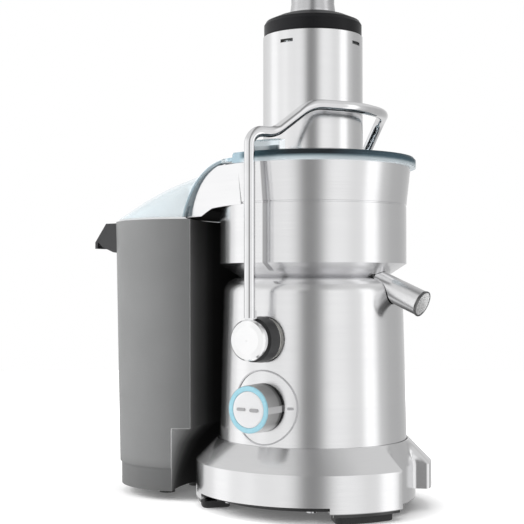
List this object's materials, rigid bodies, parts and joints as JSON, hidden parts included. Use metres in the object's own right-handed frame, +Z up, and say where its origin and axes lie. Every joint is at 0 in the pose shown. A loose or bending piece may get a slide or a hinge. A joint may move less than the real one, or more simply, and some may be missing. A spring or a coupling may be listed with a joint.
{
  "type": "centrifugal juicer",
  "caption": "Countertop centrifugal juicer: steel motor tower on a footed base, bowl with spout, clear hooded cover, tall feed chute with pusher, locking bail and side pulp container.",
  "frame": {"origin": "on the counter, under the centre of the whole machine's box", "axes": "+Z up, -Y towards the front with the dial, +X towards the juice spout, -X towards the pulp container"},
  "size_m": [0.3194, 0.203, 0.45],
  "materials": {
    "brushed_steel": "brushed",
    "base_metal": "satin",
    "rubber_black": "matte",
    "black_plastic": "satin",
    "knob_grey": "satin",
    "container_grey": "satin",
    "lip_black": "satin",
    "clear_blue": "clear",
    "clear_tube": "clear",
    "chrome": "polished",
    "dial_silver": "satin",
    "dial_blue": "lit ring",
    "machined_steel": "machined",
    "lamination": "oiled",
    "copper": "enamelled",
    "carbon": "matte",
    "board_green": "satin",
    "bowl_grey": "satin",
    "nylon": "satin",
    "engraved": "matte"
  },
  "bodies": {
    "machine": {"base_plinth": "base_metal", "base_plate": "black_plastic", "rubber_feet": "rubber_black", "base_screws": "machined_steel", "cord_gland": "black_plastic", "motor_housing": "brushed_steel", "housing_deck": "black_plastic", "shaft_seal": "rubber_black", "motor_lower_bracket": "base_metal", "motor_upper_bracket": "base_metal", "motor_tie_screws": "machined_steel", "motor_mounts": "rubber_black", "motor_stator": "lamination", "field_coils": "copper", "lower_bearing": "machined_steel", "upper_bearing": "machined_steel", "brush_holders": "black_plastic", "carbon_brushes": "carbon", "brush_springs": "machined_steel", "control_board": "board_green", "board_components": "black_plastic", "rotary_switch": "black_plastic", "lock_switch": "black_plastic", "dial_escutcheon": "engraved", "pivot_bushes": "nylon", "bowl_surround": "brushed_steel", "filter_bowl": "bowl_grey", "juice_spout": "brushed_steel", "duct_gasket": "rubber_black", "juicer_cover": "clear_blue", "feed_chute_tube": "clear_tube", "chute_sleeve": "brushed_steel"},
    "spinner": {"motor_shaft": "machined_steel", "rotor_core": "lamination", "rotor_windings": "copper", "commutator": "copper", "cooling_fan": "black_plastic", "drive_coupling": "black_plastic", "filter_basket": "machined_steel", "grating_disc": "machined_steel"},
    "lock_arm": {"locking_arm": "chrome", "pivot_collars": "black_plastic", "pivot_caps": "chrome", "pivot_pins": "machined_steel"},
    "dial": {"dial_knob": "knob_grey", "dial_light_ring": "dial_blue", "dial_face": "dial_silver", "dial_shaft": "machined_steel"},
    "pusher": {"pusher_plunger": "black_plastic", "pusher_collar": "black_plastic", "pusher_grip": "brushed_steel"},
    "pulp_bin": {"pulp_container": "container_grey", "container_handle": "lip_black", "container_feet": "rubber_black"}
  },
  "joints": [
    {"name": "lock_arm_hinge", "type": "hinge", "parent": "machine", "child": "lock_arm", "pos_m": [0.0512, 0, 0.1425], "axis": [0, 1, 0], "range_deg": [0, 95]},
    {"name": "pusher_lift", "type": "slide", "parent": "machine", "child": "pusher", "axis": [0, 0, 1], "range_m": [0, 0.165]},
    {"name": "basket_spin", "type": "hinge", "parent": "machine", "child": "spinner", "pos_m": [0.0512, 0, 0.2], "axis": [0, 0, 1], "continuous": true},
    {"name": "dial_turn", "type": "hinge", "parent": "machine", "child": "dial", "pos_m": [0.0512, -0.09, 0.088], "axis": [0, 1, 0], "range_deg": [0, 180]},
    {"name": "pulp_bin_slide", "type": "slide", "parent": "machine", "child": "pulp_bin", "axis": [-1, 0, 0], "range_m": [0, 0.15]}
  ]
}
